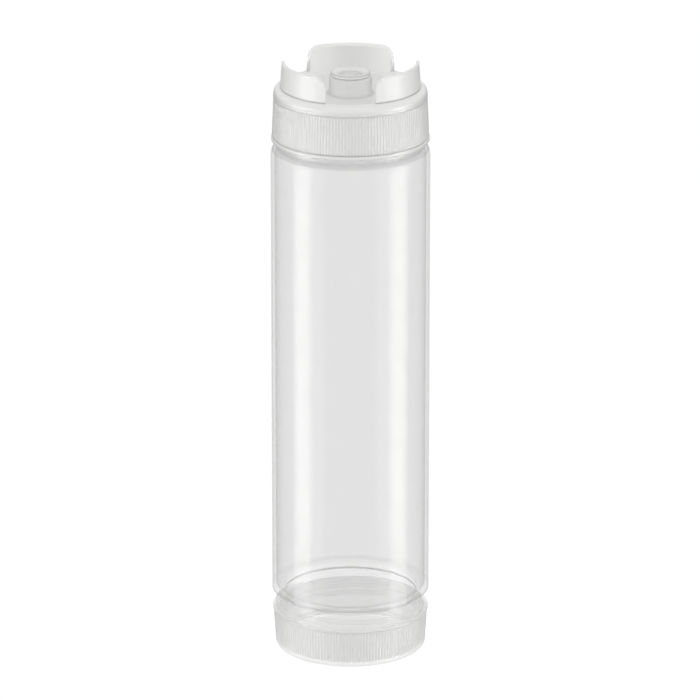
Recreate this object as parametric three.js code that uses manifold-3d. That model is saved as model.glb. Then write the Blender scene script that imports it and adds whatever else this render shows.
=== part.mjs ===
// Condiment squeeze bottle with a screw cap at each end: a clear tube with a threaded neck above
// and below, a dispensing cap with a crown, a slit valve and its snap ring, and a refill cap that
// is also the foot. Millimetres, +Z up, origin at the centre of the foot's flat underside.
import * as THREE from "three";
import { mergeVertices } from "three/addons/utils/BufferGeometryUtils.js";
import Module from "manifold-3d";

const wasm = await Module();
wasm.setup();

// Bottle body
const bodyRadius = 33.5;
const bodyLength = 197.2; // from shoulder plane to shoulder plane
const bodyWall = 1.6;
const lowerEdgeHeight = 1; // rounded edge between the wall and the lower shoulder
const lowerEdgeWidth = 0.9;
const upperEdgeHeight = 5; // the same at the upper shoulder, which is rounder
const shoulderStep = 3.4; // from the body's wall in to the neck's wall
const shoulderFlat = 0.5; // flat ring left between the upper edge and the neck's root

// Necks, alike above and below
const neckLength = 21.5;
const neckWall = 1.8;
const neckRootRadius = 0.7;
const lipRadius = 0.5;
const neckBeadProud = 0.45;
const neckBeadHeight = 1.6;
const neckBeadFromShoulder = 4.9;

// Fits
const fitGap = 0.3; // between pieces that touch
const plugClearance = 0.6; // from a cap's plug to the neck's bore
const overrun = 0.3; // how far a cutter or a joined piece runs past a face

// Seals, one inside each cap
const sealThickness = 1;

// Both caps
const skirtWall = 1.1;
const ribDepth = 0.35;
const ribRoot = 0.15; // how deep the ribs are rooted below their valleys
const rimRadius = 0.4;

// Dispensing cap
const dispensingLipRoom = 0.95; // from the neck's wall to the skirt, beside the lip
const dispensingDraft = 0.68; // how much wider the skirt is at its rim
const dispensingRimProud = 0.35;
const dispensingBeadHeight = 1.5; // smooth bead along the rim
const dispensingRimToShoulder = 2.4;
const dispensingRibs = 156;
const smoothBandHeight = 4.5;
const smoothBandProud = 0.1;
const deckThickness = 2.2;
const deckEdgeRadius = 2.8;

// Crown on the dispensing cap
const crownLegs = 3;
const crownHeight = 10.8;
const crownWall = 2;
const crownDraft = 0.65;
const crownGapWidth = 20.5;
const crownCornerRadius = 5;
const crownTopRadius = 0.4;

// Dished floor inside the crown
const dishDepth = 1.9; // below the deck, at the crown's foot
const dishFall = 1.1; // further down to the collar
const dishFloorThickness = 1.4;

// Collar round the valve
const collarRadius = 8.95;
const collarWall = 1.75;
const crownOverValve = 4.5; // how far the crown stands over the snap ring
const collarTopRadius = 0.4;
const seatWidth = 1.6; // ledge that the valve's flange lies on

// Slit valve
const valveFlangeThickness = 1.4;
const valveHeadRadius = 4.3;
const valveHeadThickness = 0.8;
const valveHeadSink = 1.2; // depth of the hollow in the closed head
const valveSleeveWall = 0.7;
const slitLength = 5.4;
const slitWidth = 0.25;

// Snap ring that holds the valve
const retainerRadius = 8.4;
const retainerGap = 0.4; // shadow gap over the collar
const retainerHeight = 1.6;
const retainerSkirtWall = 0.9;
const retainerTopRadius = 0.7;
const retainerLipHeight = 0.6;
const retainerFunnelWidth = 2.4;
const retainerFunnelDepth = 1.4;

// Refill cap
const refillLipRoom = 0.75;
const refillDraft = 0.85;
const refillRimProud = 0.45;
const refillBeadHeight = 1;
const refillRimToShoulder = 8;
const refillRibs = 150;
const refillSeatHeight = 2.1; // from the foot's underside to the seal's seat
const refillFloorThickness = 1.6;
const refillEdgeRadius = 2;

// Facets
const wallSides = 52;
const valveSides = 28;
const edgeSteps = 4; // in a rounded edge that shows
const cornerSteps = 2; // in a small rounded corner

// Radii and heights that follow from the sizes above
const neckRadius = bodyRadius - shoulderStep;
const boreRadius = neckRadius - neckWall;
const plugRadius = boreRadius - plugClearance;
const lowerLip = refillSeatHeight + sealThickness + 2 * fitGap;
const lowerShoulder = lowerLip + neckLength;
const upperShoulder = lowerShoulder + bodyLength;
const upperLip = upperShoulder + neckLength;
const deckUnderside = upperLip + sealThickness + 2 * fitGap;
const deckTop = deckUnderside + deckThickness;
const dispensingRadius = neckRadius + dispensingLipRoom + skirtWall;
const refillRadius = neckRadius + refillLipRoom + skirtWall;
const crownRadius = dispensingRadius - deckEdgeRadius;
const crownBore = crownRadius - crownWall;
const dishTop = deckTop - dishDepth;
const dishBottom = dishTop - dishFall;
const collarTop = deckTop + crownHeight - crownOverValve - retainerHeight - retainerGap;
const collarBore = collarRadius - collarWall;

const circle = 2 * Math.PI;
const quarter = Math.PI / 2;

// Points of a quarter of an ellipse with its centre at r, z, from angle from to angle to
function arc(r, z, width, height, from, to, steps) {
  const points = [];
  for (let i = 0; i <= steps; i++) {
    const angle = from + ((to - from) * i) / steps;
    points.push([r + width * Math.cos(angle), z + height * Math.sin(angle)]);
  }
  return points;
}

// Points of a small rounded corner of the given radius
function corner(r, z, radius, from, to = 0) {
  return arc(r, z, radius, radius, from, to, cornerSteps);
}

// A geometry with shared corners merged and the collapsed triangles at the poles left out
function closed(geometry) {
  geometry.deleteAttribute("normal");
  geometry.deleteAttribute("uv");
  const merged = mergeVertices(geometry);
  const corners = merged.index.array;
  const kept = [];
  for (let i = 0; i < corners.length; i += 3) {
    const [a, b, c] = corners.slice(i, i + 3);
    if (a !== b && b !== c && c !== a) kept.push(a, b, c);
  }
  merged.setIndex(kept);
  return merged;
}

function solid(geometry) {
  const shape = closed(geometry);
  const vertProperties = new Float32Array(shape.attributes.position.array);
  const triVerts = new Uint32Array(shape.index.array);
  return new wasm.Manifold(new wasm.Mesh({ numProp: 3, vertProperties, triVerts }));
}

// A revolved solid: its outline runs up outside and down inside, and closes on itself or on the axis
function revolve(outline, sides) {
  const points = outline.map(([r, z]) => new THREE.Vector2(r, z));
  if (outline[0][0] > 0) points.push(points[0].clone());
  return solid(new THREE.LatheGeometry(points, sides).rotateX(quarter));
}

function piece(name, shape, colour, roughness) {
  const mesh = shape.getMesh();
  const geometry = new THREE.BufferGeometry();
  geometry.setAttribute("position", new THREE.BufferAttribute(mesh.vertProperties, 3));
  geometry.setIndex(new THREE.BufferAttribute(mesh.triVerts, 1));
  geometry.computeVertexNormals();
  const material = new THREE.MeshStandardMaterial({ color: colour, roughness, metalness: 0 });
  const part = new THREE.Mesh(geometry, material);
  part.name = name;
  return part;
}

// One end of the bottle, as radius and height above the shoulder plane towards the lip.
// The outer side runs from lip to wall and the inner side from lip to wall.
function bottleEnd(edgeWidth, edgeHeight) {
  const root = neckRadius + neckRootRadius;
  const beadTop = neckBeadFromShoulder + neckBeadHeight / 2;
  const beadFoot = neckBeadFromShoulder - neckBeadHeight / 2;
  const innerEdgeHeight = Math.max(edgeHeight - bodyWall, bodyWall);
  const innerEdgeWidth = Math.max(edgeWidth - bodyWall, bodyWall);
  const outer = [
    ...corner(neckRadius - lipRadius, neckLength - lipRadius, lipRadius, quarter),
    [neckRadius, beadTop],
    [neckRadius + neckBeadProud, neckBeadFromShoulder + neckBeadHeight / 4],
    [neckRadius + neckBeadProud, neckBeadFromShoulder - neckBeadHeight / 4],
    [neckRadius, beadFoot],
    ...corner(root, neckRootRadius, neckRootRadius, -2 * quarter, -quarter),
    ...arc(bodyRadius - edgeWidth, -edgeHeight, edgeWidth, edgeHeight, quarter, 0, edgeSteps),
  ];
  const inner = [
    [boreRadius + lipRadius, neckLength],
    [boreRadius, neckLength - lipRadius],
    [boreRadius, -bodyWall + neckRootRadius],
    [boreRadius + neckRootRadius, -bodyWall],
    ...arc(bodyRadius - bodyWall - innerEdgeWidth, -bodyWall - innerEdgeHeight, innerEdgeWidth,
      innerEdgeHeight, quarter, 0, edgeSteps - 1),
  ];
  return { outer, inner };
}

function bottleBody() {
  const lower = bottleEnd(lowerEdgeWidth, lowerEdgeHeight);
  const upper = bottleEnd(shoulderStep - neckRootRadius - shoulderFlat, upperEdgeHeight);
  const fromLower = ([r, height]) => [r, lowerShoulder - height];
  const fromUpper = ([r, height]) => [r, upperShoulder + height];
  return revolve([
    ...lower.outer.map(fromLower),
    ...upper.outer.map(fromUpper).reverse(),
    ...upper.inner.map(fromUpper),
    ...lower.inner.map(fromLower).reverse(),
  ], wallSides);
}

// A flat ring between a cap and the neck's lip
function seal(outerRadius, bottom) {
  const innerRadius = plugRadius + fitGap;
  const top = bottom + sealThickness;
  return revolve([
    [outerRadius, bottom],
    [outerRadius, top],
    [innerRadius, top],
    [innerRadius, bottom],
  ], wallSides);
}

// A band of upright ribs that is rooted in a skirt's wall. Low and high are its ends, and each
// has the radius of the ribs' crests there.
function ribBand(ribs, low, high, lowRadius, highRadius) {
  const outline = new THREE.Shape();
  const valleyShare = (lowRadius - ribDepth) / lowRadius;
  const backShare = (lowRadius - ribDepth - skirtWall / 2) / lowRadius;
  for (let i = 0; i < 2 * ribs; i++) {
    const angle = (circle * i) / (2 * ribs);
    const share = i % 2 ? valleyShare : 1;
    const point = [lowRadius * share * Math.cos(angle), lowRadius * share * Math.sin(angle)];
    if (i) outline.lineTo(...point);
    else outline.moveTo(...point);
  }
  const back = new THREE.Path();
  for (let i = 0; i < wallSides; i++) {
    const angle = (-circle * i) / wallSides;
    const point = [lowRadius * backShare * Math.cos(angle), lowRadius * backShare * Math.sin(angle)];
    if (i) back.lineTo(...point);
    else back.moveTo(...point);
  }
  outline.holes.push(back);
  const band = new THREE.ExtrudeGeometry(outline, { depth: high - low, bevelEnabled: false });
  const places = band.attributes.position;
  for (let i = 0; i < places.count; i++) {
    const spread = places.getZ(i) > 0 ? highRadius / lowRadius : 1;
    const z = places.getZ(i) > 0 ? high : low;
    places.setXYZ(i, places.getX(i) * spread, places.getY(i) * spread, z);
  }
  return solid(band);
}

// The crown's legs: a drafted ring with a gap cut out between each two legs
function crown() {
  const top = deckTop + crownHeight;
  const topRadius = crownRadius - crownDraft;
  let ring = revolve([
    [crownRadius, deckTop - overrun],
    [crownRadius, deckTop],
    ...corner(topRadius - crownTopRadius, top - crownTopRadius, crownTopRadius, 0, quarter),
    ...corner(crownBore + crownTopRadius, top - crownTopRadius, crownTopRadius, quarter, 2 * quarter),
    [crownBore, deckTop - overrun],
  ], wallSides);
  const half = crownGapWidth / 2;
  const shoulder = crownHeight - crownCornerRadius;
  const gap = new THREE.Shape();
  gap.moveTo(-half, 0);
  gap.lineTo(half, 0);
  gap.lineTo(half, shoulder);
  gap.absarc(half + crownCornerRadius, shoulder, crownCornerRadius, 2 * quarter, quarter, true);
  gap.lineTo(half + crownCornerRadius, crownHeight + overrun);
  gap.lineTo(-half - crownCornerRadius, crownHeight + overrun);
  gap.lineTo(-half - crownCornerRadius, crownHeight);
  gap.absarc(-half - crownCornerRadius, shoulder, crownCornerRadius, quarter, 0, true);
  for (let i = 0; i < crownLegs; i++) {
    const cutter = new THREE.ExtrudeGeometry(gap, {
      depth: crownRadius + overrun,
      bevelEnabled: false,
      curveSegments: edgeSteps,
    });
    cutter.rotateX(quarter).translate(0, 0, deckTop).rotateZ((circle * i) / crownLegs);
    ring = ring.subtract(solid(cutter));
  }
  return ring;
}

function dispensingCap() {
  const rim = upperShoulder + dispensingRimToShoulder;
  const ribsLow = rim + dispensingBeadHeight;
  const ribsHigh = deckTop - smoothBandHeight;
  const rimCrest = dispensingRadius + dispensingDraft;
  const rimOuter = rimCrest + dispensingRimProud;
  const backing = ribDepth + ribRoot;
  const bandRadius = dispensingRadius + smoothBandProud;
  const rimInner = rimCrest - ribDepth - skirtWall;
  const seatBore = collarBore - seatWidth;
  const dishUnderside = dishBottom - dishFloorThickness;
  let cap = revolve([
    [rimInner + rimRadius, rim],
    ...corner(rimOuter - rimRadius, rim + rimRadius, rimRadius, -quarter),
    [rimOuter, ribsLow],
    [rimCrest - backing, ribsLow],
    [dispensingRadius - backing, ribsHigh],
    [bandRadius, ribsHigh],
    ...arc(crownRadius, deckTop - deckEdgeRadius, deckEdgeRadius, deckEdgeRadius, 0, quarter, edgeSteps),
    [crownBore, deckTop],
    [crownBore, dishTop],
    [collarRadius, dishBottom],
    ...corner(collarRadius - collarTopRadius, collarTop - collarTopRadius, collarTopRadius, 0, quarter),
    [collarBore, collarTop],
    [collarBore, dishBottom],
    [seatBore, dishBottom],
    [seatBore, dishUnderside],
    [collarRadius, dishUnderside],
    [plugRadius, dishTop - dishFloorThickness],
    [plugRadius, deckUnderside],
    [dispensingRadius - skirtWall, deckUnderside],
    [rimInner, rim + rimRadius],
  ], wallSides);
  cap = cap.add(ribBand(dispensingRibs, ribsLow, ribsHigh, rimCrest, dispensingRadius));
  return cap.add(crown());
}

function refillCap() {
  const rim = lowerShoulder - refillRimToShoulder;
  const ribsLow = refillEdgeRadius;
  const ribsHigh = rim - refillBeadHeight;
  const rimCrest = refillRadius + refillDraft;
  const rimOuter = rimCrest + refillRimProud;
  const backing = ribDepth + ribRoot;
  const rimInner = rimCrest - ribDepth - skirtWall;
  const cap = revolve([
    [0, 0],
    ...arc(refillRadius - refillEdgeRadius, refillEdgeRadius, refillEdgeRadius, refillEdgeRadius,
      -quarter, 0, edgeSteps),
    [refillRadius - backing, ribsLow],
    [rimCrest - backing, ribsHigh],
    [rimOuter, ribsHigh],
    ...corner(rimOuter - rimRadius, rim - rimRadius, rimRadius, 0, quarter),
    [rimInner + rimRadius, rim],
    [rimInner, rim - rimRadius],
    [refillRadius - skirtWall, refillSeatHeight],
    [plugRadius, refillSeatHeight],
    [plugRadius, refillFloorThickness],
    [0, refillFloorThickness],
  ], wallSides);
  return cap.add(ribBand(refillRibs, ribsLow, ribsHigh, refillRadius, rimCrest));
}

// The valve: a flange on the collar's ledge, a sleeve up to the head, and a hollow head with a
// cross slit. The head is narrow enough to pass through the snap ring when it rolls out.
function dispensingValve() {
  const flangeRadius = collarBore - fitGap;
  const flangeBottom = dishBottom + fitGap;
  const flangeTop = flangeBottom + valveFlangeThickness;
  const sleeveFoot = flangeRadius - retainerSkirtWall - fitGap;
  const headTop = collarTop;
  const hollowRadius = valveHeadRadius - valveSleeveWall;
  const sink = headTop - valveHeadSink;
  const shape = revolve([
    [0, sink - valveHeadThickness],
    [hollowRadius / 2, sink - valveHeadThickness + valveHeadSink / 4],
    [hollowRadius, headTop - valveHeadThickness - valveHeadSink / 4],
    [sleeveFoot - valveSleeveWall, flangeTop],
    [sleeveFoot - valveSleeveWall, flangeBottom],
    [flangeRadius, flangeBottom],
    [flangeRadius, flangeTop],
    [sleeveFoot, flangeTop],
    [valveHeadRadius, headTop - valveHeadSink],
    [valveHeadRadius, headTop - valveSleeveWall / 2],
    [valveHeadRadius - valveSleeveWall / 2, headTop],
    [hollowRadius, headTop - valveHeadSink / 8],
    [hollowRadius / 2, sink + valveHeadSink / 4],
    [0, sink],
  ], valveSides);
  const depth = 2 * (valveHeadSink + valveHeadThickness + overrun);
  const slit = new THREE.BoxGeometry(slitLength, slitWidth, depth).translate(0, 0, sink);
  const cross = solid(slit.clone()).add(solid(slit.rotateZ(quarter)));
  return shape.subtract(cross);
}

function valveRetainer() {
  const skirtRadius = collarBore - fitGap;
  const skirtBore = skirtRadius - retainerSkirtWall;
  const skirtBottom = dishBottom + 2 * fitGap + valveFlangeThickness;
  const ringBottom = collarTop + retainerGap;
  const ringTop = ringBottom + retainerHeight;
  const openingRadius = valveHeadRadius + fitGap;
  const lipTop = ringTop - retainerFunnelDepth;
  return revolve([
    [skirtBore, skirtBottom],
    [skirtRadius, skirtBottom],
    [skirtRadius, ringBottom],
    [retainerRadius, ringBottom],
    ...corner(retainerRadius - retainerTopRadius, ringTop - retainerTopRadius, retainerTopRadius, 0,
      quarter),
    [openingRadius + retainerFunnelWidth, ringTop],
    [openingRadius, lipTop],
    [openingRadius, lipTop - retainerLipHeight],
    [skirtBore, lipTop - retainerLipHeight - (skirtBore - openingRadius) / 2],
  ], valveSides);
}

const clear = "#e9e9e6";
const frosted = "#dededa";
const soft = "#efeeeb";
const glossy = 0.12;
const satin = 0.3;
const matt = 0.6;
const bottle = new THREE.Group();
bottle.add(
  piece("bottle_body", bottleBody(), clear, glossy),
  piece("dispensing_cap", dispensingCap(), frosted, satin),
  piece("dispensing_seal", seal(dispensingRadius - skirtWall - fitGap, upperLip + fitGap), soft, matt),
  piece("dispensing_valve", dispensingValve(), soft, matt),
  piece("valve_retainer", valveRetainer(), frosted, satin),
  piece("refill_cap", refillCap(), frosted, satin),
  piece("refill_seal", seal(refillRadius - skirtWall - fitGap, refillSeatHeight + fitGap), soft, matt),
);

export default bottle;
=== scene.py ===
"""Looks of a clear condiment squeeze bottle with a screw cap at each end.

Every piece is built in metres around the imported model, which stays as it is. The bottle stands on
its refill cap at the origin, +Z up, and one gap of the crown faces -Y.
"""

import math

import bmesh
import bpy
from bpy.props import FloatProperty, FloatVectorProperty, IntProperty, PointerProperty
from mathutils import Matrix, Vector

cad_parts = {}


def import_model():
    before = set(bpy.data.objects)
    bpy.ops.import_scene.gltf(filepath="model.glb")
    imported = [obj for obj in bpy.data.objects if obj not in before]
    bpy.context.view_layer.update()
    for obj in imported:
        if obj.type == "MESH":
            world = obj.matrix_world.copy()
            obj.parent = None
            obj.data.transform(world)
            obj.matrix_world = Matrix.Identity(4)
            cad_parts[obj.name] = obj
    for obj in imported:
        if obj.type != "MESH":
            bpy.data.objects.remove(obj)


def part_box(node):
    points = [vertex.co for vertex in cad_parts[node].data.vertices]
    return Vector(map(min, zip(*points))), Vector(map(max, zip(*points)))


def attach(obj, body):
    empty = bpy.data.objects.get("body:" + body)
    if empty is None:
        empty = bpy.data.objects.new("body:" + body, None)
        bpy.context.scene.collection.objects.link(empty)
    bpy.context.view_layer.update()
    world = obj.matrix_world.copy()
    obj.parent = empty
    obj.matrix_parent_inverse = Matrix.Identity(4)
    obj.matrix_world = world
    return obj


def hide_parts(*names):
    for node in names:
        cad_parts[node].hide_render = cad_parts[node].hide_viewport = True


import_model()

bl_info = {
    "name": "Squeeze Bottle",
    "version": (1, 0, 0),
    "blender": (4, 5, 0),
    "location": "View3D > Sidebar > Bottle",
    "description": "Builds a clear squeeze bottle with a dispensing cap and a refill cap",
    "category": "Object",
}

# Name of the point attribute that holds the strength of the painted shade
PAINTED_SHADE = "fold"
CIRCLE = 2 * math.pi
QUARTER = math.pi / 2
ON_AXIS = 1e-9
SHARP_EDGE = math.radians(32)
WHITE = (1.0, 1.0, 1.0, 1.0)
SIDES = ((-1, "left"), (1, "right"))

BODY_LOW, BODY_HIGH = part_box("bottle_body")
CAP_LOW, CAP_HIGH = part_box("dispensing_cap")
_, REFILL_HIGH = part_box("refill_cap")
RING_LOW, RING_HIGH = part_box("valve_retainer")
UPPER_SEAL_LOW, UPPER_SEAL_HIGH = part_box("dispensing_seal")
LOWER_SEAL_LOW, LOWER_SEAL_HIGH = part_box("refill_seal")

# Corners of an outline: outwards or inwards, up or down, and the angle at which their arc starts
OUTER_TOP = (1, 1, 0.0)
INNER_TOP = (-1, 1, QUARTER)
INNER_FOOT = (-1, -1, 2 * QUARTER)
OUTER_FOOT = (1, -1, -QUARTER)

# Legs of the crown, and the share of the deck in which they are rooted
LEGS = 3
LEG_ROOT = 0.3

# Columns of the turned pieces and of one rib, and steps along their curves
BODY_COLUMNS = 256
SEAL_COLUMNS = 192
RING_COLUMNS = 128
VALVE_COLUMNS = 96
RIB_COLUMNS = 5
RIB_ROWS = 24
BEAD_STEPS = 12
SHOULDER_STEPS = 12
INNER_SHOULDER_STEPS = 10
DECK_STEPS = 12
FOOT_STEPS = 10
LEG_CORNER_STEPS = 12
LEG_STEPS = 16
HEAD_STEPS = 8
THREAD_STEPS = 96

# Small roundings and distances, in metres
FINE_EDGE = 0.0002
BAND_EDGE = 0.0001
CROWN_EDGE = 0.0003
FLOOR_EDGE = 0.0005
VALVE_EDGE = 0.00025
GROOVE_STEP = 0.00002
PLUG_ROOM = 0.0006
RING_SIDE = 0.0005
RING_FLANGE = 0.0016
RING_BOTTOM = RING_HIGH.z - RING_FLANGE
FLOOR_DROP = 0.0002

# Shares of the head's hollow that its two bowls take, of the slit's length over which shade is painted, and
# of the funnel's turn
UNDER_BOWL = 0.75
HEAD_BOWL = 0.9
SLIT_SHADE = 0.51
FUNNEL_TURN = (0.55, 0.45)

# How strong the painted shade in the outlines' folds, grooves and gaps is: 1 is full painted shade,
# and less than 0 is clearer than its wall
RIM_SHADE = 0.5
BAND_SHADE = 0.7
REFILL_BAND_SHADE = 0.65
COLLAR_FOOT_SHADE = 0.6
COLLAR_SHADE = 0.25
LEG_TOP_SHADE = -1.0
LEG_END_SHADE = 0.6
HOLLOW_SHADE = 0.6
RING_TURN_SHADE = 0.9
RING_TOP_SHADE = 0.8
FUNNEL_SHADE = -0.6
RING_LIP_SHADE = 0.55

# Thicker crown: how far under the deck it starts, the step to it and how much more it covers
CROWN_THICK = (0.0025, 0.001, 0.6)

# Finishes: the surface's pattern, its scale along the axis, the relief and the index of refraction
BLOWN = ({"Grain": 700.0, "Flow": 22.0, "Roughness": 0.1, "Spread": 0.05}, 0.25, 0.04, 1.5)
MOULDED = ({"Grain": 1500.0, "Flow": 60.0, "Roughness": 0.3, "Spread": 0.08}, 1.0, 0.06, 1.49)
SOFT = ({"Grain": 2500.0, "Flow": 90.0, "Roughness": 0.42, "Spread": 0.1}, 1.0, 0.08, 1.41)
RELIEF_DEPTH = 0.0002
GRAIN_SHARE = 0.15
RIB_SHARPNESS = 1.2
THREAD_END = 0.02

# How much less the plastic covers for shadow and diffuse rays, and how many clear layers a ray passes
LET_THROUGH = 0.96
CLEAR_LAYERS = 48

# Stage: the floor's grey and glow, and where the lamps stand, in degrees round and over the bottle
FLOOR_GREY = 0.42
FLOOR_GLOW = 0.74
TOP_LAMP = (-4, 60, 1.6)
SIDE_LAMP = (75, 8, 1.5)
LAMP_SIZE = 1.2
CARD_LOW, CARD_HIGH = -0.4, 0.32

# Cards: name, degrees round the bottle, degrees of width, distance, share that fades, level
CARDS = (("card_", 75, 33, 0.62, 0.15, "card_level"),
         ("dim_card_", 53, 34, 0.8, 0.2, "dim_level"),
         ("dark_card_", 132, 72, 0.9, 0.2, "dark_level"))


def number(name, description, default, low=0.0, **kind):
    """A number that a user can change."""
    return FloatProperty(name=name, description=description, default=default, min=low, **kind)


def length(name, description, default, low=0.0):
    """A length in metres."""
    return number(name, description, default, low, unit="LENGTH", precision=5)


def share(name, description, default):
    """A share from 0 to 1."""
    return number(name, description, default, max=1.0, subtype="FACTOR")


def colour(name, description, default):
    """A linear colour that a user can change."""
    return FloatVectorProperty(name=name, description=description, default=default, size=3, min=0.0,
                               max=1.0, subtype="COLOR")


class BottleSizes(bpy.types.PropertyGroup):
    """Sizes of the bottle and its necks."""

    radius: length("Body radius", "Outside radius of the tube", BODY_HIGH.x)
    lower_lip: length("Lower lip", "Height of the lower neck's lip", BODY_LOW.z)
    upper_lip: length("Upper lip", "Height of the upper neck's lip", BODY_HIGH.z)
    wall: length("Wall", "Wall of the tube", 0.0016)
    lower_edge: length("Lower edge", "Height of the rounded edge above the lower shoulder", 0.001)
    lower_edge_width: length("Lower edge width", "Width of that edge", 0.0009)
    upper_edge: length("Upper edge", "Height of the rounded edge below the upper shoulder", 0.005)
    upper_edge_width: length("Upper edge width", "Width of that edge", 0.0022)
    shoulder_step: length("Shoulder", "From the tube's wall in to the neck's wall", 0.0034)
    neck_length: length("Neck length", "From shoulder to lip", 0.0215)
    neck_wall: length("Neck wall", "Wall of both necks", 0.0018)
    root: length("Root radius", "Rounding between neck and shoulder", 0.0007)
    lip: length("Lip radius", "Rounding of the lips", 0.0005)
    bead_proud: length("Bead", "How far the neck's bead stands out", 0.00045)
    bead_height: length("Bead height", "Height of the neck's bead", 0.0016)
    bead_place: length("Bead place", "From the shoulder to the bead", 0.0049)
    # The line inside the neck is painted shade only: the wall has no step there
    line_place: length("Line place", "From the shoulder to the line inside the neck", 0.0022)
    line_width: length("Line width", "Width of that line", 0.0006)
    # Strengths of the painted shade at the lower shoulder's corners, the line inside the lower neck, the lips
    # and the upper shoulder
    lower_fold: number("Lower fold", "How dark the lower shoulder's corners look", 0.4)
    neck_fold: number("Neck fold", "How dark the line inside the lower neck looks", 1.05)
    lip_fold: number("Lip fold", "How dark the necks' lips look", 0.5)
    upper_fold: number("Upper fold", "How dark the upper shoulder looks", 0.5)


class ThreadSizes(bpy.types.PropertyGroup):
    """Sizes of the screw threads."""

    pitch: length("Pitch", "Rise in one turn", 0.006)
    foot: length("Foot width", "Width of a ridge at its wall", 0.0026)
    crest: length("Crest width", "Width of a ridge at its top", 0.0011)
    proud: length("Proud", "How far a neck's ridge stands out", 0.00085)
    cap_proud: length("Cap ridge", "How far a cap's ridge stands in", 0.0008)
    from_lip: length("From lip", "Where the neck's ridge begins, from the lip", 0.0028)
    run_out: length("Run-out", "Length over which a ridge fades at its ends", 0.009)
    sink: length("Sink", "How deep a ridge is rooted in its wall", 0.00015)
    # Strength of the painted shade on the feet of a neck's ridge
    shade: number("Shade", "How dark the feet of a neck's ridge look", 0.35)
    turns: number("Turns", "Turns of a neck's ridge", 2.35, 0.5)
    cap_turns: number("Cap turns", "Turns of a cap's ridge", 1.6, 0.5)


class CapSizes(bpy.types.PropertyGroup):
    """Sizes of the two ribbed caps."""

    skirt_wall: length("Skirt wall", "Wall under the ribs", 0.0011)
    rib_depth: length("Rib depth", "Depth of the grooves between the ribs", 0.00024)
    # Strength of the painted shade in the grooves between the ribs
    rib_shade: number("Rib shade", "How dark the grooves look", 0.55)
    rib_fade: length("Rib fade", "Height over which the ribs run out", 0.0006)
    bead: length("Bead", "Height of the smooth bead at the dispensing cap's rim", 0.0015)
    refill_bead: length("Refill bead", "Height of the smooth bead at the refill cap's rim", 0.001)
    groove: length("Groove", "Height of the shadow groove between a bead and the ribs", 0.00025)
    rim_radius: length("Rim radius", "Rounding of the rim", 0.0004)
    ribs: IntProperty(name="Ribs", description="Ribs on the dispensing cap", default=156, min=12)
    refill_ribs: IntProperty(name="Refill ribs", description="Ribs on the refill cap", default=150, min=12)
    lip_room: length("Lip room", "From neck to skirt at the dispensing cap's deck", 0.00095)
    draft: length("Draft", "How much wider the dispensing cap is at its rim", 0.00068)
    rim_proud: length("Rim proud", "How far the dispensing cap's bead stands out", 0.00035)
    band: length("Smooth band", "Height of the smooth band over the ribs", 0.0045)
    band_proud: length("Band proud", "How far the smooth band stands over the ribs", 0.0001)
    deck: length("Deck", "Thickness of the deck over the lip", 0.0022)
    deck_edge: length("Deck edge", "Rounding of the deck's edge", 0.0028)
    crown_height: length("Crown height", "Height of the legs over the deck", 0.0108)
    crown_wall: length("Crown wall", "Thickness of the legs at their feet", 0.002)
    crown_draft: length("Crown draft", "How far the legs lean in", 0.00065)
    crown_gap: length("Crown gap", "Width of the gap between two legs", 0.0205)
    crown_corner: length("Crown corner", "Rounding of the legs' upper corners", 0.005)
    crown_edge: length("Crown edge", "Rounding along the legs' edges", 0.0004)
    # Strength of the painted shade in the middle of the legs' inner faces
    leg_shade: number("Leg shade", "How dark the middle of the legs' inner faces looks", 0.3)
    foot_groove: length("Foot groove", "Shadow groove round the crown's foot", 0.0003)
    dish_depth: length("Dish depth", "Drop from the deck to the dished floor", 0.0019)
    dish_fall: length("Dish fall", "Fall of the dished floor to the collar", 0.0011)
    dish_floor: length("Dish floor", "Thickness of the dished floor", 0.0014)
    dish_fillet: length("Dish fillet", "Rounding round the dished floor", 0.0006)
    collar_radius: length("Collar radius", "Outside radius of the collar", 0.00895)
    collar_wall: length("Collar wall", "Wall of the collar", 0.00175)
    collar_edge: length("Collar edge", "Rounding of the collar's top", 0.0004)
    collar_gap: length("Collar gap", "Shadow gap under the snap ring", 0.0004)
    seat: length("Seat", "Width of the ledge under the valve", 0.0016)
    refill_lip_room: length("Refill lip room", "From neck to skirt at the refill cap's floor", 0.00075)
    refill_draft: length("Refill draft", "How much wider the refill cap is at its rim", 0.00085)
    refill_rim_proud: length("Refill rim proud", "How far the refill cap's bead stands out", 0.00045)
    refill_floor: length("Refill floor", "Thickness of the refill cap's floor", 0.0016)
    refill_seat: length("Refill seat", "Height of the seal's seat", 0.0021)
    refill_edge: length("Refill edge", "Rounding of the foot's edge", 0.002)


class ValveSizes(bpy.types.PropertyGroup):
    """Sizes of the slit valve and its snap ring."""

    fit: length("Fit", "Gap between pieces that touch", 0.0003)
    flange: length("Flange", "Thickness of the valve's flange", 0.0014)
    head_radius: length("Head radius", "Radius of the valve's head", 0.0043)
    head_thickness: length("Head thickness", "Thickness of the head", 0.0008)
    head_sink: length("Head sink", "Depth of the hollow in the closed head", 0.0012)
    sleeve: length("Sleeve", "Wall of the sleeve", 0.0007)
    slit_length: length("Slit length", "Length of each cut of the cross slit", 0.0054)
    slit_width: length("Slit width", "How far the slit stands open", 0.00008)
    ring_radius: length("Ring radius", "Outside radius of the snap ring", 0.0084)
    ring_skirt: length("Ring skirt", "Wall of the snap ring's skirt", 0.0009)
    ring_edge: length("Ring edge", "Rounding of the snap ring's top", 0.0007)
    ring_lip: length("Ring lip", "Height of the snap ring's inner lip", 0.0006)
    funnel_width: length("Funnel width", "Width of the ring's slope", 0.0024)
    funnel_depth: length("Funnel depth", "Depth of the ring's slope", 0.0014)


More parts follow.
